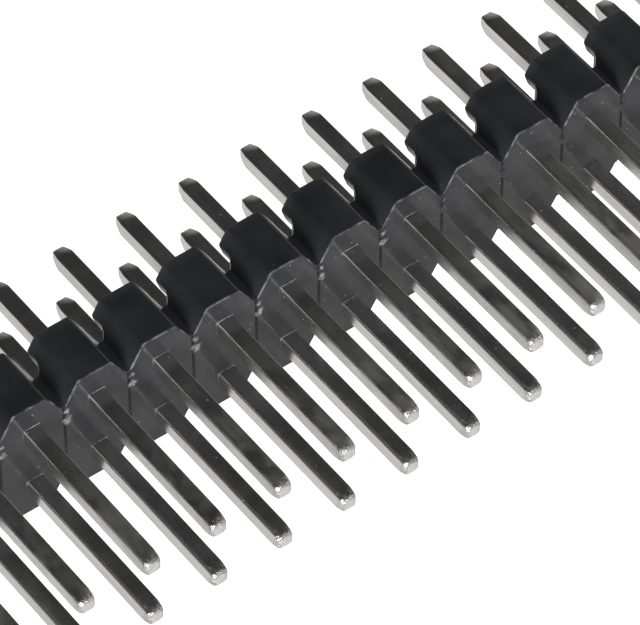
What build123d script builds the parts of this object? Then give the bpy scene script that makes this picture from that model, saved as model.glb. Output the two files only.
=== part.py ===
from build123d import *
import os

# Double-row straight pin header with break-off columns, in millimetres.
# X runs along the strip, Y across the two rows and Z along the pins.
# The origin is in the middle of the plane where the feet meet the circuit board.

# Layout
columns = 20
pitch = 2.54
row_spacing = 2.54

# Pins: square wire, pointed at both ends
pin_width = 0.62
pin_edge_chamfer = 0.05
mating_length = 6.8
tail_length = 3.3
mating_tip_length = 0.34
mating_tip_inset = 0.12
tail_tip_length = 0.34
tail_tip_inset = 0.13

# Housing: one moulded bar
housing_height = 2.54
housing_width = 5.08

# Side notches between the columns
side_flat = 1.29
notch_depth = 0.87
notch_floor = 0.18

# Break lines: a rounded slot from below, tapered in degrees between the feet, and a scored groove from above
slot_width = 0.78
slot_depth = 1.06
slot_end_reach = 0.52
slot_end_taper = 18.0
score_width = 0.12
score_depth = 0.05

# Feet along both edges, with a channel between them; their soles are chamfered
foot_height = 0.53
foot_depth = 1.03
foot_chamfer = 0.12

# Share of a foot's depth, beside the channel, where the sole keeps its square edges
square_edge_share = 0.15

# How far a cut runs past the surface that it opens
cut_overrun = 1.0

# Worked out from the sizes above
housing_length = columns * pitch - notch_floor
column_places = [(i - (columns - 1) / 2) * pitch for i in range(columns)]
row_places = {"front": -row_spacing / 2, "rear": row_spacing / 2}
pin_bottom = -tail_length
pin_top = housing_height + mating_length
channel_side = housing_width / 2 - foot_depth


def break_cuts(cut):
    """One copy of a cut at every break line, the two ends included."""
    return [place * cut for place in GridLocations(pitch, 0, columns + 1, 1)]


def side_notch():
    """Tapered notch with its mouth in the side face at y = 0, reaching towards -Y."""
    mouth = (pitch - side_flat) / 2
    floor = notch_floor / 2
    outline = Polyline(
        (-mouth, cut_overrun),
        (-mouth, 0),
        (-floor, -notch_depth),
        (floor, -notch_depth),
        (mouth, 0),
        (mouth, cut_overrun),
        close=True,
    )
    return extrude(make_face(outline), housing_height)


def break_slot():
    """Round-topped slot that splits the feet of neighbouring columns and narrows outwards between them."""
    radius = slot_width / 2
    straight = slot_depth - radius + cut_overrun
    profile = Pos(0, slot_depth - radius - straight / 2) * Rectangle(slot_width, straight)
    profile += Pos(0, slot_depth - radius) * Circle(radius)
    section = Plane.XZ * profile
    middle = extrude(section, channel_side, both=True)
    front_end = extrude(Pos(0, -channel_side) * section, slot_end_reach, taper=slot_end_taper)
    return middle + front_end + Rot(0, 0, 180) * front_end


def break_score():
    """V groove across the mating face, where the bar snaps."""
    half = score_width / 2
    outline = Polyline(
        (-half, housing_height + cut_overrun),
        (-half, housing_height),
        (0, housing_height - score_depth),
        (half, housing_height),
        (half, housing_height + cut_overrun),
        close=True,
    )
    return extrude(Plane.XZ * make_face(outline), housing_width, both=True)


def foot_channel():
    """Straight channel between the two lines of feet, open at both ends."""
    height = foot_height + cut_overrun
    return Pos(0, 0, foot_height - height / 2) * Box(housing_length + cut_overrun, 2 * channel_side, height)


def pin_holes():
    """Square through holes that the pins are pressed into, face to face."""
    hole = Pos(0, 0, housing_height / 2) * Box(pin_width, pin_width, housing_height + cut_overrun)
    return [Pos(x, y) * hole for y in row_places.values() for x in column_places]


def outer_foot_edges(body):
    """Edges round the soles of the feet, apart from those along the channel."""
    nearest = channel_side + square_edge_share * foot_depth
    return [edge for edge in body.edges().group_by(Axis.Z)[0] if abs(edge.center().Y) > nearest]


def make_housing():
    bar = Pos(0, 0, housing_height / 2) * Box(housing_length, housing_width, housing_height)
    rear_notch = Pos(0, housing_width / 2) * side_notch()
    front_notch = Rot(0, 0, 180) * rear_notch
    cuts = break_cuts(rear_notch) + break_cuts(front_notch)
    cuts += break_cuts(break_slot()) + break_cuts(break_score())
    cuts += [foot_channel()] + pin_holes()
    body = bar - cuts
    return chamfer(outer_foot_edges(body), foot_chamfer)


def pin_side_view():
    """Outline of the wire drawn in at both ends, made thick enough to hold the whole wire."""
    side = pin_width / 2
    right = [
        (side - tail_tip_inset, pin_bottom),
        (side, pin_bottom + tail_tip_length),
        (side, pin_top - mating_tip_length),
        (side - mating_tip_inset, pin_top),
    ]
    left = [(-x, z) for x, z in reversed(right)]
    outline = make_face(Polyline(*right, *left, close=True))
    return extrude(Plane.XZ * outline, pin_width, both=True)


def make_pin():
    square = Rectangle(pin_width, pin_width)
    section = chamfer(square.vertices(), pin_edge_chamfer)
    wire = extrude(Pos(0, 0, pin_bottom) * section, pin_top - pin_bottom)
    tapered = pin_side_view()
    return wire & tapered & Rot(0, 0, 90) * tapered


os.makedirs("parts", exist_ok=True)
export_step(make_housing(), "parts/housing.step")
pin = make_pin()
for row, y in row_places.items():
    for number, x in enumerate(column_places, start=1):
        export_step(Pos(x, y) * pin, f"parts/{row}_pin_{number:02d}.step")
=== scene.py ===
import math
import bmesh
import bpy
from mathutils import Euler, Matrix, Vector


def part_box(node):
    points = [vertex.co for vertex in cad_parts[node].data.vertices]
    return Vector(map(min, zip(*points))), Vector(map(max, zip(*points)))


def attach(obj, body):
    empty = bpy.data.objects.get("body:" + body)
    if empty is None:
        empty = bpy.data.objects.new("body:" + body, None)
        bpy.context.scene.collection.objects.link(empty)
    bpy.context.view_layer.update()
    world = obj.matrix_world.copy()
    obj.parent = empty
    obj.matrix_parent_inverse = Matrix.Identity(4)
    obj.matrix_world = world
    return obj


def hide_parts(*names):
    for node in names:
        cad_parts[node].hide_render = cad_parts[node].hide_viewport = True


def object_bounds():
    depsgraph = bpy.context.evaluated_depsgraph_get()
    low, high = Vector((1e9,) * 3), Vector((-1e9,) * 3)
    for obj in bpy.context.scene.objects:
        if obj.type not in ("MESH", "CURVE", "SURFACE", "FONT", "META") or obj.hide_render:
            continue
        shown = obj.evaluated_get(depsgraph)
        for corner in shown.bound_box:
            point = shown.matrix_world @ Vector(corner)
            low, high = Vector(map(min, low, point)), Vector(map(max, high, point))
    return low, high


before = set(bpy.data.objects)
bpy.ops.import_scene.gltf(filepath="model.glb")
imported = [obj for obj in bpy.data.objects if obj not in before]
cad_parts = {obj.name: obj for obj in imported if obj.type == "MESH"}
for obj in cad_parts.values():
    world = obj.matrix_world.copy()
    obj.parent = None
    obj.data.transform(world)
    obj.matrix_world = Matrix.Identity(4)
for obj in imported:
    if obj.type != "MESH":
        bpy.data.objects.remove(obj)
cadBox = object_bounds()

mm = 0.001  # sizes, places and patterns are in millimetres, and a finished mesh is brought to metres
rowCount = 2
columns = sum(name.startswith("front_pin_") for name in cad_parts)


def middle(node):
    low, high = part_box(node)
    return (low + high) / 2 / mm


barLow, barHigh = (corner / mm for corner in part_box("housing"))
pinLow, pinHigh = (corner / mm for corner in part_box("front_pin_01"))
pitch = middle("front_pin_02").x - middle("front_pin_01").x
rowSpacing = middle("rear_pin_01").y - middle("front_pin_01").y
pinWidth = pinHigh.x - pinLow.x
print("frame:", columns, "columns at", round(pitch, 3), "mm")


# Node helpers

def addNode(tree, kind, **settings):
    node = tree.nodes.new(kind)
    for name, value in settings.items():
        if name in node.inputs:
            node.inputs[name].default_value = value
        else:
            setattr(node, name, value)
    return node


def feed(tree, value, socket):
    # a number sets the socket, and the output of another node is linked to it
    if isinstance(value, (int, float)):
        socket.default_value = value
    else:
        tree.links.new(value, socket)


def maths(tree, operation, *values):
    node = addNode(tree, "ShaderNodeMath", operation=operation)
    for value, socket in zip(values, node.inputs):
        feed(tree, value, socket)
    return node.outputs[0]


def vector(tree, **parts):
    node = addNode(tree, "ShaderNodeCombineXYZ")
    for axis, value in parts.items():
        feed(tree, value, node.inputs[axis])
    return node.outputs["Vector"]


# Geometry trees

def geometryTree(name, inputs):
    tree = bpy.data.node_groups.new(name, "GeometryNodeTree")
    tree.interface.new_socket("Geometry", in_out="INPUT", socket_type="NodeSocketGeometry")
    for label, kind in inputs.items():
        tree.interface.new_socket(label, in_out="INPUT", socket_type="NodeSocket" + kind)
    tree.interface.new_socket("Geometry", in_out="OUTPUT", socket_type="NodeSocketGeometry")
    return tree, addNode(tree, "NodeGroupInput").outputs


def endTree(tree, given, geometry):
    real = addNode(tree, "GeometryNodeRealizeInstances")
    tree.links.new(geometry, real.inputs["Geometry"])
    paint = addNode(tree, "GeometryNodeSetMaterial")
    tree.links.new(real.outputs["Geometry"], paint.inputs["Geometry"])
    tree.links.new(given["Material"], paint.inputs["Material"])
    made = addNode(tree, "NodeGroupOutput")
    tree.links.new(paint.outputs["Geometry"], made.inputs["Geometry"])


def useTree(obj, tree, values):
    modifier = obj.modifiers.new(tree.name, "NODES")
    modifier.node_group = tree
    for item in tree.interface.items_tree:
        if item.in_out == "INPUT" and item.name in values:
            modifier[item.identifier] = values[item.name]


def shape(tree, socket):
    info = addNode(tree, "GeometryNodeObjectInfo")
    tree.links.new(socket, info.inputs["Object"])
    return info.outputs["Geometry"]


def copies(tree, points, socket):
    spread = addNode(tree, "GeometryNodeInstanceOnPoints")
    tree.links.new(points, spread.inputs["Points"])
    tree.links.new(shape(tree, socket), spread.inputs["Instance"])
    return spread


def pinPoints(tree, given):
    # one point for every pin
    gaps = maths(tree, "SUBTRACT", given["Columns"], 1)
    grid = addNode(tree, "GeometryNodeMeshGrid")
    grid.inputs["Vertices Y"].default_value = rowCount
    tree.links.new(given["Columns"], grid.inputs["Vertices X"])
    tree.links.new(maths(tree, "MULTIPLY", gaps, given["Pitch"]), grid.inputs["Size X"])
    tree.links.new(given["Row Spacing"], grid.inputs["Size Y"])
    return grid.outputs["Mesh"]


def breakPoints(tree, given, count, x=0.0, y=0.0):
    # points one pitch apart along the strip, with their middle at x and y
    span = maths(tree, "MULTIPLY", maths(tree, "SUBTRACT", count, 1), given["Pitch"])
    first = maths(tree, "ADD", maths(tree, "DIVIDE", span, -2), x)
    line = addNode(tree, "GeometryNodeMeshLine")
    tree.links.new(count, line.inputs["Count"])
    tree.links.new(vector(tree, X=first, Y=y), line.inputs["Start Location"])
    tree.links.new(vector(tree, X=given["Pitch"]), line.inputs["Offset"])
    return line.outputs["Mesh"]


# Meshes

def newObject(name, data):
    obj = bpy.data.objects.new(name, data)
    bpy.context.scene.collection.objects.link(obj)
    return obj


def plainMesh(obj):
    graph = bpy.context.evaluated_depsgraph_get()
    shaped = obj.evaluated_get(graph)
    mesh = bpy.data.meshes.new_from_object(shaped, preserve_all_data_layers=True, depsgraph=graph)
    obj.modifiers.clear()
    obj.data = mesh
    print(obj.name, len(mesh.polygons), "faces")


def skin(build, rings):
    # joins rings of points in turn and caps the first and the last
    build.faces.new(rings[0])
    build.faces.new(rings[-1])
    for lower, upper in zip(rings, rings[1:]):
        for i in range(len(lower)):
            j = (i + 1) % len(lower)
            build.faces.new((lower[i], lower[j], upper[j], upper[i]))


def closed(name, build):
    bmesh.ops.recalc_face_normals(build, faces=build.faces)
    mesh = bpy.data.meshes.new(name)
    build.to_mesh(mesh)
    build.free()
    return newObject(name, mesh)


def prism(name, outline, place):
    # an outline swept between two ends; place turns (a, b, end) into a point
    build = bmesh.new()
    skin(build, [[build.verts.new(place(a, b, end)) for a, b in outline] for end in (0, 1)])
    return closed(name, build)


def upright(bottom, top):
    # the place of an outline drawn in plan
    return lambda a, b, end: (a, b, top if end else bottom)


def across(front, rear):
    # the place of an outline seen from the front
    return lambda a, b, end: (a, rear if end else front, b)


def rectangle(halfLength, halfWidth):
    return [(sx * halfLength, sy * halfWidth) for sx, sy in ((-1, -1), (1, -1), (1, 1), (-1, 1))]


# Finishes: a stretch is a pair of places, and a pattern's scale is in cells for each millimetre

def finish(name):
    material = bpy.data.materials.new(name)
    material.use_nodes = True
    tree = material.node_tree
    shader = tree.nodes["Principled BSDF"]
    place = addNode(tree, "ShaderNodeVectorMath", operation="SCALE", Scale=1 / mm)
    tree.links.new(addNode(tree, "ShaderNodeTexCoord").outputs["Object"], place.inputs[0])
    return material, tree, shader, place.outputs["Vector"]


def axes(tree, place):
    node = addNode(tree, "ShaderNodeSeparateXYZ")
    tree.links.new(place, node.inputs["Vector"])
    return node.outputs


def noise(tree, place, scale, detail=3.0, stretch=(1.0, 1.0, 1.0)):
    grow = addNode(tree, "ShaderNodeMapping", Scale=stretch)
    tree.links.new(place, grow.inputs["Vector"])
    field = addNode(tree, "ShaderNodeTexNoise", Scale=scale, Detail=detail)
    tree.links.new(grow.outputs["Vector"], field.inputs["Vector"])
    return field.outputs["Fac"]


def grey(level):
    return (level, level, level, 1.0)


def ramp(tree, source, positions, colours):
    # from one colour to another between two positions
    node = addNode(tree, "ShaderNodeValToRGB")
    for element, position, colour in zip(node.color_ramp.elements, positions, colours):
        element.position = position
        element.color = colour
    tree.links.new(source, node.inputs["Fac"])
    return node.outputs["Color"]


def about(level, stretch):
    # a stretch that is measured from a level of the frame
    return [level + offset for offset in stretch]


def between(tree, source, stretch, easing="LINEAR"):
    # 0 at one end of a stretch and 1 at the other
    node = addNode(tree, "ShaderNodeMapRange", interpolation_type=easing)
    node.inputs["From Min"].default_value, node.inputs["From Max"].default_value = stretch
    tree.links.new(source, node.inputs["Value"])
    return node.outputs["Result"]


def mixTo(tree, source, other, share):
    # a colour or a number, drawn towards another by a share
    kind = "RGBA" if isinstance(other, tuple) else "FLOAT"
    node = addNode(tree, "ShaderNodeMix", data_type=kind)
    shareIn, sourceIn, otherIn = [socket for socket in node.inputs if socket.enabled]
    tree.links.new(share, shareIn)
    tree.links.new(source, sourceIn)
    otherIn.default_value = other
    return [socket for socket in node.outputs if socket.enabled][0]


def specks(tree, place, values):
    # dust: the middles of a few cells
    cells = addNode(tree, "ShaderNodeTexVoronoi", Scale=values["speckScale"])
    tree.links.new(place, cells.inputs["Vector"])
    dots = ramp(tree, cells.outputs["Distance"], values["speckSize"], (grey(1.0), grey(0.0)))
    pick = addNode(tree, "ShaderNodeSeparateColor")
    tree.links.new(cells.outputs["Color"], pick.inputs["Color"])
    picked = maths(tree, "LESS_THAN", pick.outputs["Red"], values["speckShare"])
    return maths(tree, "MULTIPLY", dots, picked)


def bump(tree, shader, layers):
    normal = None
    for height, relief in layers:
        node = addNode(tree, "ShaderNodeBump", Strength=1.0, Distance=relief * mm)
        tree.links.new(height, node.inputs["Height"])
        if normal:
            tree.links.new(normal, node.inputs["Normal"])
        normal = node.outputs["Normal"]
    tree.links.new(normal, shader.inputs["Normal"])


blackPlastic = {
    "deep": (0.045, 0.048, 0.058, 1.0),
    "pale": (0.071, 0.073, 0.082, 1.0),
    "toneStops": (0.35, 0.65),
    "roughness": (0.16, 0.25),
    "roughStops": (0.3, 0.7),
    "ior": 1.5,
    "cloudScale": 0.7,
    "cloudRelief": 0.004,
    "grainScale": 14.0,
    "grainRelief": 0.0004,
    "speckScale": 2.6,
    "speckSize": (0.06, 0.10),
    "speckShare": 0.5,
    "speckTone": (0.46, 0.46, 0.46, 1.0),
    "speckRise": (-0.44, 0.06),  # from the mating face, where dust has settled
    "notchLightTone": (0.110, 0.113, 0.123, 1.0),  # painted light: a paler tone that lifts the shade in the notches
    "notchLightDepth": (-0.04, -0.84),  # from the side faces inwards
    "notchLightRise": (-0.02, -0.08),  # from the mating face downwards
    "rubbedRise": (0.5, 0.1),  # from the soles, which are rubbed dull
    "rubbedRoughness": 0.6,
}


def makeBlackPlastic(values):
    material, tree, shader, place = finish("glossyBlackPlastic")
    along = axes(tree, place)
    clouds = noise(tree, place, values["cloudScale"])
    grain = noise(tree, place, values["grainScale"])
    tone = ramp(tree, clouds, values["toneStops"], (values["deep"], values["pale"]))
    # painted light: paler deeper into the notches and hollows, below the mating face
    fromMiddle = maths(tree, "ABSOLUTE", along["Y"])
    inwards = between(tree, fromMiddle, about(barHigh.y, values["notchLightDepth"]))
    below = between(tree, along["Z"], about(barHigh.z, values["notchLightRise"]))
    notchLight = maths(tree, "MULTIPLY", inwards, below)
    tone = mixTo(tree, tone, values["notchLightTone"], notchLight)
    settled = between(tree, along["Z"], about(barHigh.z, values["speckRise"]))
    dust = maths(tree, "MULTIPLY", specks(tree, place, values), settled)
    tone = mixTo(tree, tone, values["speckTone"], dust)
    tree.links.new(tone, shader.inputs["Base Color"])
    rough = ramp(tree, clouds, values["roughStops"], map(grey, values["roughness"]))
    rubbed = between(tree, along["Z"], about(barLow.z, values["rubbedRise"]))
    rough = mixTo(tree, rough, values["rubbedRoughness"], rubbed)
    tree.links.new(rough, shader.inputs["Roughness"])
    shader.inputs["IOR"].default_value = values["ior"]
    bump(tree, shader, [(clouds, values["cloudRelief"]), (grain, values["grainRelief"])])
    return material


# the rounded rim: pale patches that are partly scuffing and partly a painted edge highlight
rimScuffAndHighlight = {
    "worn": (0.055, 0.055, 0.06, 1.0),
    "lighter": (0.55, 0.55, 0.55, 1.0),
    "patchScale": 3.3,
    "patchDetail": 4.0,
    "patchStops": (0.41, 0.74),  # of the noise, from the worn tone to the lighter one
    "patchRelief": 0.006,
    "roughness": 0.55,
}

# painted shade: the scored grooves are darker and duller than the mating face
grooveShade = {
    "worn": (0.030, 0.031, 0.036, 1.0),
    "lighter": (0.060, 0.062, 0.070, 1.0),
    "patchScale": 5.2,
    "patchDetail": 4.0,
    "patchStops": (0.36, 0.64),
    "patchRelief": 0.006,
    "roughness": 0.75,
}

# pale marks on the lips and blisters: partly wear, partly painted highlight, palest at the front of each
# pin
markWearAndHighlight = {
    "worn": (0.055, 0.058, 0.068, 1.0),
    "lighter": (0.75, 0.75, 0.75, 1.0),
    "patchScale": 8.0,
    "patchDetail": 4.0,
    "patchStops": (0.30, 0.66),
    "patchRelief": 0.006,
    "roughness": 0.3,
    "layer": "wearAndHighlight",  # faded by the piece's own attribute
    "faint": (-9.0, -2.5),  # and along the strip
    "faintest": 0.45,
}


# patches between a darker and a lighter tone; on the rim, grooves and marks they also carry painted
# highlight and painted shade
def makePatchyPlastic(name, values):
    material, tree, shader, place = finish(name)
    patches = noise(tree, place, values["patchScale"], values["patchDetail"])
    lighter = patches
    if "layer" in values:
        wearAndHighlight = addNode(tree, "ShaderNodeAttribute", attribute_name=values["layer"]).outputs["Fac"]
        strength = between(tree, axes(tree, place)["X"], values["faint"])
        strength = maths(tree, "MAXIMUM", strength, values["faintest"])
        lighter = maths(tree, "MULTIPLY", patches, maths(tree, "MULTIPLY", wearAndHighlight, strength))
    tone = ramp(tree, lighter, values["patchStops"], (values["worn"], values["lighter"]))
    tree.links.new(tone, shader.inputs["Base Color"])
    shader.inputs["Roughness"].default_value = values["roughness"]
    bump(tree, shader, [(patches, values["patchRelief"])])
    return material


tinPlate = {
    "deep": (0.64, 0.635, 0.61, 1.0),
    "pale": (0.76, 0.755, 0.735, 1.0),
    "toneStops": (0.35, 0.65),
    "roughness": (0.18, 0.27),
    "roughStops": (0.3, 0.7),
    "cloudScale": 1.1,
    "cloudRelief": 0.007,
    "drawnScale": 2.5,  # streaks along the drawn wire
    "drawnDetail": 4.0,
    "drawnStretch": (1.0, 1.0, 0.06),
    "drawnRelief": 0.0015,
    "endHighlightTone": (0.97, 0.96, 0.94, 1.0),  # painted highlight: a near-white dull tone at the ends, where the wire was cut
    "endHighlightRise": (-0.03, -0.01),  # from the mating ends
    "blotchScale": 2.2,  # dull blotches, because the front row has been handled
    "blotchDetail": 5.0,
    "blotchStretch": (1.0, 1.0, 0.45),
    "blotchStops": (0.34, 0.60),
    "blotchRow": (0.47, 0.07),  # from the middle of the front row
    "blotchRise": (0.46, 4.46),  # from the mating face, growing towards the tips
    "blotchRoughness": 0.40,
    "highlightLayer": "frontEdge",  # painted highlight: a pale dull stripe down the front edge near the mating face
    "scrapedEdge": (0.2, 0.9),
    "highlightRises": ((-1.54, -0.54), (1.06, 0.16)),  # from the mating face: it fades below and above
    "lighterRoughness": 0.6,
    "dentScale": 8.0,  # the coined points are uneven
    "dentRise": (-0.34, -0.16),  # from the mating ends
    "dentRelief": 0.08,
    "speckScale": 2.6,
    "speckSize": (0.05, 0.09),
    "speckShare": 0.3,
}


def makeTinPlate(values):
    material, tree, shader, place = finish("brightTinPlate")
    along = axes(tree, place)
    clouds = noise(tree, place, values["cloudScale"])
    drawn = noise(tree, place, values["drawnScale"], values["drawnDetail"], values["drawnStretch"])
    plate = ramp(tree, drawn, values["toneStops"], (values["deep"], values["pale"]))
    # painted highlight: the mating ends turn near-white, dull and not metallic
    cut = between(tree, along["Z"], about(pinHigh.z, values["endHighlightRise"]))
    tree.links.new(mixTo(tree, plate, values["endHighlightTone"], cut), shader.inputs["Base Color"])

    rough = ramp(tree, clouds, values["roughStops"], map(grey, values["roughness"]))
    blotch = noise(tree, place, values["blotchScale"], values["blotchDetail"], values["blotchStretch"])
    handled = ramp(tree, blotch, values["blotchStops"], (grey(0.0), grey(1.0)))
    frontRow = between(tree, along["Y"], about(-rowSpacing / 2, values["blotchRow"]))
    handled = maths(tree, "MULTIPLY", frontRow, handled)
    outwards = between(tree, along["Z"], about(barHigh.z, values["blotchRise"]))
    handled = maths(tree, "MULTIPLY", handled, outwards)
    rough = mixTo(tree, rough, values["blotchRoughness"], handled)

    # painted highlight: the front edge near the mating face is made dull and not metallic
    edge = addNode(tree, "ShaderNodeAttribute", attribute_name=values["highlightLayer"]).outputs["Fac"]
    scraped = between(tree, edge, values["scrapedEdge"])
    for rise in values["highlightRises"]:
        near = between(tree, along["Z"], about(barHigh.z, rise))
        scraped = maths(tree, "MULTIPLY", scraped, near)
    # pale dull places: the painted highlights at the front edge and the ends, and real dust specks
    lighter = maths(tree, "MAXIMUM", maths(tree, "MAXIMUM", scraped, cut), specks(tree, place, values))
    tree.links.new(mixTo(tree, rough, values["lighterRoughness"], lighter), shader.inputs["Roughness"])
    tree.links.new(maths(tree, "SUBTRACT", 1.0, lighter), shader.inputs["Metallic"])

    point = between(tree, along["Z"], about(pinHigh.z, values["dentRise"]))
    dents = maths(tree, "MULTIPLY", noise(tree, place, values["dentScale"]), point)
    bump(tree, shader, [
        (clouds, values["cloudRelief"]),
        (drawn, values["drawnRelief"]),
        (dents, values["dentRelief"]),
    ])
    return material


# Housing: a bar less the rows of cuts that let it snap between columns

housing = {
    "sideFlat": 1.29,
    "notchDepth": 0.87,
    "notchFloor": 0.18,
    "slotWidth": 0.78,
    "slotDepth": 1.06,
    "slotEndReach": 0.52,  # between the feet, where the slot narrows outwards
    "slotEndTaper": 18.0,
    "slotArcSteps": 20,
    "scoreWidth": 0.12,
    "scoreDepth": 0.05,
    "footHeight": 0.53,
    "footDepth": 1.03,
    "overrun": 1.0,  # of a cut past the surface that it opens
    "soleRound": 0.18,
    "cornerRound": 0.08,
    "rimRound": 0.06,
    "roundSteps": 4,
    "sharpAngle": 25.0,  # degrees from which an edge is rounded or kept sharp
    "slack": 0.01,  # how near counts as touching
    "levelShare": 0.98,  # a face is level when its normal rises by this share
}


def fromCentre(x):
    # distance along the strip from the middle of the nearest column
    return abs((x / pitch + columns / 2) % 1 - 0.5) * pitch


def edgeRound(edge, values):
    # worn round the top, soft at the upright corners, softest round the soles and sharp everywhere else
    a, b = (vert.co for vert in edge.verts)
    place = (a + b) / 2
    slack = values["slack"]
    if place.z > barHigh.z - slack:
        fromColumn = fromCentre(place.x)
        fromRow = abs(abs(place.y) - rowSpacing / 2)
        atPin = max(fromColumn, fromRow) < pinWidth / 2 + slack
        atScore = pitch / 2 - fromColumn < values["scoreWidth"]
        return 0.0 if atPin or atScore else values["rimRound"]
    if a.z < barLow.z + slack and b.z < barLow.z + slack:
        return values["soleRound"] if abs(place.y) > barHigh.y - values["footDepth"] + slack else 0.0
    standing = abs(a.x - b.x) < slack and abs(a.y - b.y) < slack
    if standing and abs(place.y) > barHigh.y - values["notchDepth"] + slack:
        return values["cornerRound"]
    return 0.0


def weighEdges(mesh, values):
    build = bmesh.new()
    build.from_mesh(mesh)
    weight = build.edges.layers.float.new("bevel_weight_edge")
    for edge in build.edges:
        if edge.calc_face_angle() > math.radians(values["sharpAngle"]):
            edge[weight] = edgeRound(edge, values) / values["soleRound"]
            edge.smooth = edge[weight] > 0
    build.to_mesh(mesh)
    build.free()


def paintRimAndGroove(mesh, values, rim, shadedGroove):
    # the rounded border of the mating face gets pale patches that are partly scuffing and partly painted
    # edge highlight, and the scored grooves a darker tone that is painted shade
    first = len(mesh.materials)
    mesh.materials.append(rim)
    mesh.materials.append(shadedGroove)
    for face in mesh.polygons:
        atTop = face.center.z > barHigh.z - values["rimRound"]
        if atTop and abs(face.normal.z) < values["levelShare"]:
            scored = pitch / 2 - fromCentre(face.center.x) < values["scoreWidth"] / 2
            face.material_index = first + scored


def flaredSlot(name, values, bottom):
    # the arch springs from one height; its ends are pinched between the feet
    inner = barHigh.y - values["footDepth"]
    outer = inner + values["slotEndReach"]
    spring = barLow.z + values["slotDepth"] - values["slotWidth"] / 2
    turns = [math.pi * i / values["slotArcSteps"] for i in range(values["slotArcSteps"] + 1)]
    wide = values["slotWidth"] / 2
    narrow = wide - values["slotEndReach"] * math.tan(math.radians(values["slotEndTaper"]))
    build = bmesh.new()
    rings = []
    for y, radius in ((-outer, narrow), (-inner, wide), (inner, wide), (outer, narrow)):
        ring = [(radius * math.cos(t), y, spring + radius * math.sin(t)) for t in turns]
        ring += [(-radius, y, bottom), (radius, y, bottom)]
        rings.append([build.verts.new(point) for point in ring])
    skin(build, rings)
    return closed(name, build)


def housingCuts(values):
    # one cutter of each kind, under the name of its input
    over = values["overrun"]
    bottom, top = barLow.z - over, barHigh.z + over
    side = barHigh.y + over
    mouth = (pitch - values["sideFlat"]) / 2
    floor = values["notchFloor"] / 2
    valley = barHigh.y - values["notchDepth"]
    notch = [
        (-mouth, side),
        (-mouth, barHigh.y),
        (-floor, valley),
        (floor, valley),
        (mouth, barHigh.y),
        (mouth, side),
    ]
    half = values["scoreWidth"] / 2
    score = [
        (-half, top),
        (-half, barHigh.z),
        (0, barHigh.z - values["scoreDepth"]),
        (half, barHigh.z),
        (half, top),
    ]
    channel = rectangle(barHigh.x + over, barHigh.y - values["footDepth"])
    hole = rectangle(pinWidth / 2, pinWidth / 2)
    return {
        "Rear Notch": prism("rearNotch", notch, upright(bottom, top)),
        "Front Notch": prism("frontNotch", [(a, -b) for a, b in notch], upright(bottom, top)),
        "Snap Slot": flaredSlot("snapSlot", values, bottom),
        "Snap Score": prism("snapScore", score, across(-side, side)),
        "Foot Channel": prism("footChannel", channel, upright(bottom, barLow.z + values["footHeight"])),
        "Pin Hole": prism("pinHole", hole, upright(bottom, top)),
    }


def snapBarTree(cuts):
    tree, given = geometryTree("snapBar", {
        "Columns": "Int",
        "Pitch": "Float",
        "Row Spacing": "Float",
        **{label: "Object" for label in cuts},
        "Material": "Material",
    })

    def less(solid, cutter):
        real = addNode(tree, "GeometryNodeRealizeInstances")
        tree.links.new(cutter, real.inputs["Geometry"])
        cut = addNode(tree, "GeometryNodeMeshBoolean", operation="DIFFERENCE", solver="EXACT")
        tree.links.new(solid, cut.inputs["Mesh 1"])
        tree.links.new(real.outputs["Geometry"], cut.inputs["Mesh 2"])
        return cut.outputs["Mesh"]

    breaks = breakPoints(tree, given, maths(tree, "ADD", given["Columns"], 1))
    solid = given["Geometry"]
    for label in ("Rear Notch", "Front Notch", "Snap Slot", "Snap Score"):
        solid = less(solid, copies(tree, breaks, given[label]).outputs["Instances"])
    solid = less(solid, shape(tree, given["Foot Channel"]))
    holes = copies(tree, pinPoints(tree, given), given["Pin Hole"])
    solid = less(solid, holes.outputs["Instances"])
    endTree(tree, given, solid)
    return tree


def makeHousing(values, material, rim, shadedGroove):
    cuts = housingCuts(values)
    bar = rectangle(barHigh.x, barHigh.y)
    shell = prism("snap_housing", bar, upright(barLow.z, barHigh.z))
    useTree(shell, snapBarTree(cuts), {
        "Columns": columns,
        "Pitch": pitch,
        "Row Spacing": rowSpacing,
        **cuts,
        "Material": material,
    })
    plainMesh(shell)
    for cutter in cuts.values():
        bpy.data.objects.remove(cutter)
    weighEdges(shell.data, values)
    shell.data.shade_smooth()
    edges = shell.modifiers.new("edges", "BEVEL")
    edges.width = values["soleRound"]
    edges.segments = values["roundSteps"]
    edges.limit_method = "WEIGHT"
    edges.use_clamp_overlap = False
    edges.harden_normals = True
    plainMesh(shell)
    paintRimAndGroove(shell.data, values, rim, shadedGroove)
    shell.data.transform(Matrix.Scale(mm, 4))
    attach(shell, "root")
    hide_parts("housing")


# Contact pins: square wire with coined tips

pins = {
    "edgeRounds": (0.04, 0.10, 0.04, 0.10),  # rolled wire: two of its edges are rounder
    "cornerSteps": 4,
    "tailTip": {"length": 0.42, "inset": 0.10, "endRound": 0.02, "cornerRound": 0.05},
    "matingTip": {"length": 0.42, "inset": 0.03, "endRound": 0.13, "cornerRound": 0.14},
    "tipFullness": 1.25,
    "shoulderShare": 0.15,  # of the point's length, before and after its shoulder, that is rounded
    "tipSteps": 4,
    "trim": 0.001,  # keeps a leaning pin within its length
    "lean": 0.12,  # degrees of scatter
    "twist": 0.8,
    "seed": 7,
    "flatWeight": 100,  # keeps the shading of the flats flat
}


def drawnIn(share, shoulder):
    # straight taper from 1 at the end, eased into the wire round the shoulder at a share of 1
    if share < 1 - shoulder:
        return 1 - share
    return (1 + shoulder - share) ** 2 / (4 * shoulder)


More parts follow.
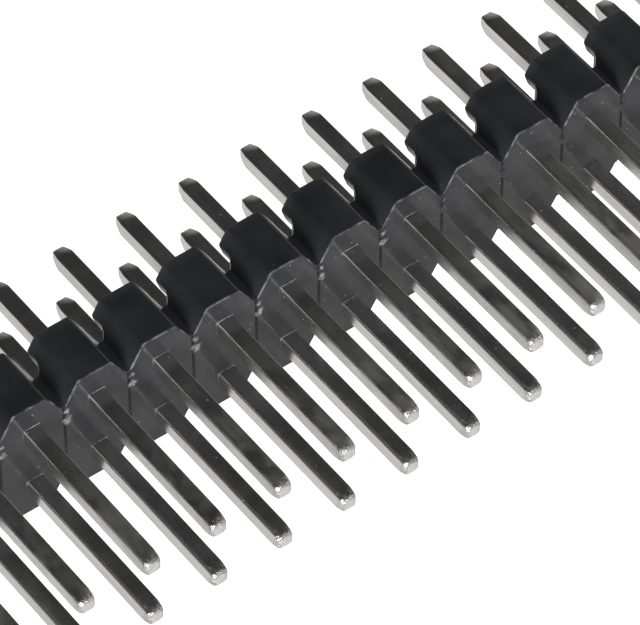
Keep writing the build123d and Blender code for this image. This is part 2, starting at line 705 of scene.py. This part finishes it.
def pinTip(values, tip):
    # distance from the end, inset and corner radii, from the rounded end face to the straight wire
    steps, shoulder = values["tipSteps"], values["shoulderShare"]
    length, rounding = tip["length"], tip["endRound"]
    turns = [math.pi / 2 * step / steps for step in range(steps + 1)]
    points = [(rounding * (1 - math.cos(t)) / length, rounding * (1 - math.sin(t))) for t in turns]
    first = points[-1][0]
    points += [(first + (1 - shoulder - first) * step / steps, 0.0) for step in range(1, steps)]
    points += [(1 - shoulder + 2 * shoulder * step / steps, 0.0) for step in range(steps + 1)]
    rows = []
    for share, extra in points:
        taper = drawnIn(share, shoulder)
        radii = [edge + (tip["cornerRound"] - edge) * taper for edge in values["edgeRounds"]]
        rows.append((length * share, tip["inset"] * taper ** values["tipFullness"] + extra, radii))
    return rows


def pinRows(values):
    # height, inset and corner radii of every ring of points, from tail to mating tip
    low, high = pinLow.z + values["trim"], pinHigh.z - values["trim"]
    tail, mating = pinTip(values, values["tailTip"]), pinTip(values, values["matingTip"])
    rows = [(low + along, inset, radii) for along, inset, radii in tail]
    return rows + [(high - along, inset, radii) for along, inset, radii in reversed(mating)]


def pinRing(build, values, row):
    height, inset, radii = row
    frontEdge = build.verts.layers.float["frontEdge"]
    half = pinWidth / 2 - inset
    ring = []
    for corner, radius in enumerate(radii):
        cx = (half - radius) * (1 if corner in (0, 3) else -1)
        cy = (half - radius) * (1 if corner in (0, 1) else -1)
        for step in range(values["cornerSteps"] + 1):
            turn = math.pi / 2 * (corner + step / values["cornerSteps"])
            vert = build.verts.new((cx + radius * math.cos(turn), cy + radius * math.sin(turn), height))
            vert[frontEdge] = corner == 3 and step == values["cornerSteps"] // 2
            ring.append(vert)
    return ring


def pinRowsTree():
    tree, given = geometryTree("pinRows", {
        "Columns": "Int",
        "Pitch": "Float",
        "Row Spacing": "Float",
        "Pin": "Object",
        "Scatter": "Vector",
        "Seed": "Int",
        "Material": "Material",
    })
    flip = addNode(tree, "ShaderNodeVectorMath", operation="SCALE", Scale=-1.0)
    tree.links.new(given["Scatter"], flip.inputs[0])
    scatter = addNode(tree, "FunctionNodeRandomValue", data_type="FLOAT_VECTOR")
    tree.links.new(flip.outputs["Vector"], scatter.inputs["Min"])
    tree.links.new(given["Scatter"], scatter.inputs["Max"])
    tree.links.new(given["Seed"], scatter.inputs["Seed"])
    spread = copies(tree, pinPoints(tree, given), given["Pin"])
    tree.links.new(scatter.outputs["Value"], spread.inputs["Rotation"])
    endTree(tree, given, spread.outputs["Instances"])
    return tree


def makePins(values, material):
    build = bmesh.new()
    build.verts.layers.float.new("frontEdge")
    skin(build, [pinRing(build, values, row) for row in pinRows(values)])
    onePin = closed("onePin", build)
    rows = newObject("contact_pins", bpy.data.meshes.new("contact_pins"))
    lean, twist = math.radians(values["lean"]), math.radians(values["twist"])
    useTree(rows, pinRowsTree(), {
        "Columns": columns,
        "Pitch": pitch,
        "Row Spacing": rowSpacing,
        "Pin": onePin,
        "Scatter": (lean, lean, twist),
        "Seed": values["seed"],
        "Material": material,
    })
    plainMesh(rows)
    bpy.data.objects.remove(onePin)
    rows.data.transform(Matrix.Scale(mm, 4))
    rows.data.shade_smooth()
    flats = rows.modifiers.new("flats", "WEIGHTED_NORMAL")
    flats.weight = values["flatWeight"]
    plainMesh(rows)
    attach(rows, "root")
    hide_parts(*(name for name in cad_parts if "_pin_" in name))


# Details on the mating face: a lip pushed up round every pin and blisters beside the break lines, with
# pale marks that are partly wear and partly painted highlight

details = {
    "lipWidth": 0.02,
    "lipHeight": 0.012,
    "lipWearAndHighlight": (0.95, 0.1),  # at the front and at the back of a pin; the pale front is a painted highlight along the pin's base
    "sink": 0.02,  # into the face and into the pins
    "blisterSize": (0.46, 0.62, 0.02),
    "blisterSteps": 20,
    # shares of the width and of the height, and the wear and painted highlight, from the border inwards
    "blisterShape": ((1.0, 0.0, 0.0), (0.75, 0.5, 0.7), (0.45, 0.9, 1.0), (0.2, 1.0, 1.1)),
    "blisterLobes": ((2, 0.14, 0.9), (3, 0.16, 0.2), (5, 0.10, 1.7)),  # number, depth and turn
    # from the middle of a break line, and the largest scale
    "blisterPlaces": ((-0.11, -1.40, 0.6), (-0.11, -0.98, 1.0)),
    "scatter": 0.3,
    "seed": 3,
    "sharpAngle": 35.0,
}


def pinLip(values):
    build = bmesh.new()
    wearAndHighlight = build.verts.layers.float.new("wearAndHighlight")
    half, sink, high = pinWidth / 2, values["sink"], values["lipHeight"]
    out = half + values["lipWidth"]
    section = ((half - sink, -sink), (out, -sink), (out, 0.0), (half, high), (half - sink, high))
    rings = []
    for sx, sy in rectangle(1, 1):
        rings.append([build.verts.new((sx * reach, sy * reach, height)) for reach, height in section])
        for vert in rings[-1]:
            vert[wearAndHighlight] = values["lipWearAndHighlight"][0 if sy < 0 else 1]
    for ring, after in zip(rings, rings[1:] + rings[:1]):
        for i in range(len(section)):
            j = (i + 1) % len(section)
            build.faces.new((ring[i], ring[j], after[j], after[i]))
    return closed("pinLip", build)


def breakBlister(values):
    build = bmesh.new()
    wearAndHighlight = build.verts.layers.float.new("wearAndHighlight")
    wide, long, high = values["blisterSize"]
    steps, lobes = values["blisterSteps"], values["blisterLobes"]
    levels = [(share, high * height, worn) for share, height, worn in values["blisterShape"]]
    widest = levels[0][0]
    levels.insert(0, (widest, -values["sink"], 0.0))
    rings = []
    for share, height, worn in levels:
        ring = []
        for step in range(steps):
            turn = 2 * math.pi * step / steps
            bulge = 1 + sum(depth * math.sin(number * turn + start) for number, depth, start in lobes)
            x = share * bulge * wide / 2 * math.cos(turn)
            y = share * bulge * long / 2 * math.sin(turn)
            vert = build.verts.new((x, y, height))
            vert[wearAndHighlight] = worn
            ring.append(vert)
        rings.append(ring)
    skin(build, rings)
    return closed("breakBlister", build)


def faceDetailsTree(places):
    tree, given = geometryTree("faceDetails", {
        "Columns": "Int",
        "Pitch": "Float",
        "Row Spacing": "Float",
        "Height": "Float",
        "Lip": "Object",
        "Blister": "Object",
        "Scatter": "Float",
        "Seed": "Int",
        "Material": "Material",
    })
    both = addNode(tree, "GeometryNodeJoinGeometry")
    lips = copies(tree, pinPoints(tree, given), given["Lip"])
    tree.links.new(lips.outputs["Instances"], both.inputs["Geometry"])
    breaks = maths(tree, "SUBTRACT", given["Columns"], 1)
    for x, y, largest in places:
        smallest = maths(tree, "MULTIPLY", maths(tree, "SUBTRACT", 1.0, given["Scatter"]), largest)
        size = addNode(tree, "FunctionNodeRandomValue", data_type="FLOAT_VECTOR")
        tree.links.new(vector(tree, X=smallest, Y=smallest, Z=smallest), size.inputs["Min"])
        size.inputs["Max"].default_value = (largest, largest, largest)
        tree.links.new(given["Seed"], size.inputs["Seed"])
        turn = addNode(tree, "FunctionNodeRandomValue", data_type="FLOAT")
        turn.inputs["Max"].default_value = 2 * math.pi
        tree.links.new(given["Seed"], turn.inputs["Seed"])
        blisters = copies(tree, breakPoints(tree, given, breaks, x, y), given["Blister"])
        tree.links.new(vector(tree, Z=turn.outputs["Value"]), blisters.inputs["Rotation"])
        tree.links.new(size.outputs["Value"], blisters.inputs["Scale"])
        tree.links.new(blisters.outputs["Instances"], both.inputs["Geometry"])
    lift = addNode(tree, "GeometryNodeTransform")
    tree.links.new(both.outputs["Geometry"], lift.inputs["Geometry"])
    tree.links.new(vector(tree, Z=given["Height"]), lift.inputs["Translation"])
    endTree(tree, given, lift.outputs["Geometry"])
    return tree


def makeDetails(values, material):
    lip = pinLip(values)
    blister = breakBlister(values)
    scuffs = newObject("face_details", bpy.data.meshes.new("face_details"))
    useTree(scuffs, faceDetailsTree(values["blisterPlaces"]), {
        "Columns": columns,
        "Pitch": pitch,
        "Row Spacing": rowSpacing,
        "Height": barHigh.z,
        "Lip": lip,
        "Blister": blister,
        "Scatter": values["scatter"],
        "Seed": values["seed"],
        "Material": material,
    })
    plainMesh(scuffs)
    for source in (lip, blister):
        bpy.data.objects.remove(source)
    scuffs.data.transform(Matrix.Scale(mm, 4))
    scuffs.data.shade_smooth()
    scuffs.data.set_sharp_from_angle(angle=math.radians(values["sharpAngle"]))
    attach(scuffs, "root")


rimPlastic = makePatchyPlastic("scuffedHighlitRimPlastic", rimScuffAndHighlight)
groovePlastic = makePatchyPlastic("shadedGrooveBlackPlastic", grooveShade)
makeHousing(housing, makeBlackPlastic(blackPlastic), rimPlastic, groovePlastic)
makePins(pins, makeTinPlate(tinPlate))
makeDetails(details, makePatchyPlastic("markedHighlitPlastic", markWearAndHighlight))


# Studio: white floor, soft white surroundings that darken towards the front

studio = {
    "floorSize": 4000.0,
    "floorTone": (0.9, 0.9, 0.9, 1.0),
    "white": (1.0, 1.0, 1.0, 1.0),  # what the camera sees behind the strip
    "whiteLevel": 1.0,
    "darkSide": (0.45, -0.80, -0.40),  # below the camera
    "darkReach": (0.62, 0.10),
    "dark": (0.036, 0.037, 0.038, 1.0),
    "bright": (0.66, 0.65, 0.63, 1.0),
    "level": 0.96,
    "fall": (0.22, 0.0, -0.11),  # how much brighter it gets towards each axis
    "lampDistance": 600.0,
    "key": {"side": (0.76, -0.385, 0.53), "size": 560.0, "watts": 4.8},
    "fill": {"side": (0.72, -0.36, 0.59), "size": 260.0, "watts": 0.9},
}


def makeFloor(values):
    half = values["floorSize"] / 2 * mm
    build = bmesh.new()
    build.faces.new([build.verts.new((x, y, cadBox[0].z)) for x, y in rectangle(half, half)])
    mesh = bpy.data.meshes.new("floor")
    build.to_mesh(mesh)
    build.free()
    floor = newObject("floor", mesh)
    sweep = bpy.data.materials.new("whiteSweep")
    sweep.use_nodes = True
    shader = sweep.node_tree.nodes["Principled BSDF"]
    shader.inputs["Base Color"].default_value = values["floorTone"]
    shader.inputs["Emission Color"].default_value = values["white"]
    shader.inputs["Emission Strength"].default_value = values["whiteLevel"]
    mesh.materials.append(sweep)
    floor.visible_glossy = False
    floor.visible_diffuse = False


def makeSurroundings(values):
    world = bpy.data.worlds.new("softSurround")
    bpy.context.scene.world = world
    world.use_nodes = True
    tree = world.node_tree
    tree.nodes.clear()
    ray = addNode(tree, "ShaderNodeTexCoord").outputs["Generated"]

    def towards(direction):
        node = addNode(tree, "ShaderNodeVectorMath", operation="DOT_PRODUCT")
        tree.links.new(ray, node.inputs[0])
        node.inputs[1].default_value = direction
        return node.outputs["Value"]

    facing = towards(Vector(values["darkSide"]).normalized())
    share = between(tree, facing, values["darkReach"], "SMOOTHSTEP")
    tone = ramp(tree, share, (0.0, 1.0), (values["dark"], values["bright"]))
    soft = addNode(tree, "ShaderNodeBackground")
    tree.links.new(tone, soft.inputs["Color"])
    level = maths(tree, "ADD", towards(values["fall"]), values["level"])
    tree.links.new(level, soft.inputs["Strength"])
    seen = addNode(tree, "ShaderNodeBackground", Color=values["white"], Strength=values["whiteLevel"])
    mix = addNode(tree, "ShaderNodeMixShader")
    tree.links.new(addNode(tree, "ShaderNodeLightPath").outputs["Is Camera Ray"], mix.inputs[0])
    tree.links.new(soft.outputs["Background"], mix.inputs[1])
    tree.links.new(seen.outputs["Background"], mix.inputs[2])
    tree.links.new(mix.outputs["Shader"], addNode(tree, "ShaderNodeOutputWorld").inputs["Surface"])


def softLamp(name, values, distance):
    data = bpy.data.lights.new(name, "AREA")
    data.shape = "DISK"
    data.size = values["size"] * mm
    data.energy = values["watts"]
    lamp = newObject(name, data)
    towards = Vector(values["side"]).normalized()
    lamp.location = towards * distance * mm
    lamp.rotation_euler = towards.to_track_quat("Z", "Y").to_euler()
    lamp.visible_camera = False
    return lamp


def makeStudio(values):
    makeFloor(values)
    makeSurroundings(values)
    # the key is only seen as a glint, and the fill only lightens what is dull
    softLamp("keyLight", values["key"], values["lampDistance"]).visible_diffuse = False
    softLamp("fillLight", values["fill"], values["lampDistance"]).visible_glossy = False
    print("studio: floor, surroundings and two lamps")


# Camera, close to the strip with a long lens and rolled so that the strip climbs to the right

camera = {
    "aim": (0.385, -0.052, 3.113),
    "azimuth": 26.96,
    "elevation": 31.77,
    "roll": 135.49,
    "distance": 177.57,
    "lens": 303.98,
    "sensor": 36.0,
    "clipStart": 10.0,
}


def makeCamera(values):
    data = bpy.data.cameras.new("camera")
    data.lens = values["lens"]
    data.sensor_width = values["sensor"]
    data.clip_start = values["clipStart"] * mm
    eye = newObject("camera", data)
    a, e = math.radians(values["azimuth"]), math.radians(values["elevation"])
    back = Vector((math.sin(a) * math.cos(e), -math.cos(a) * math.cos(e), math.sin(e)))
    eye.location = (Vector(values["aim"]) + back * values["distance"]) * mm
    level = (-back).to_track_quat("-Z", "Y")
    eye.rotation_euler = (level @ Euler((0, 0, math.radians(values["roll"]))).to_quaternion()).to_euler()
    bpy.context.scene.camera = eye
    print("camera:", values["distance"], "mm away")


makeStudio(studio)
makeCamera(camera)
bpy.context.scene.view_settings.view_transform = "Standard"
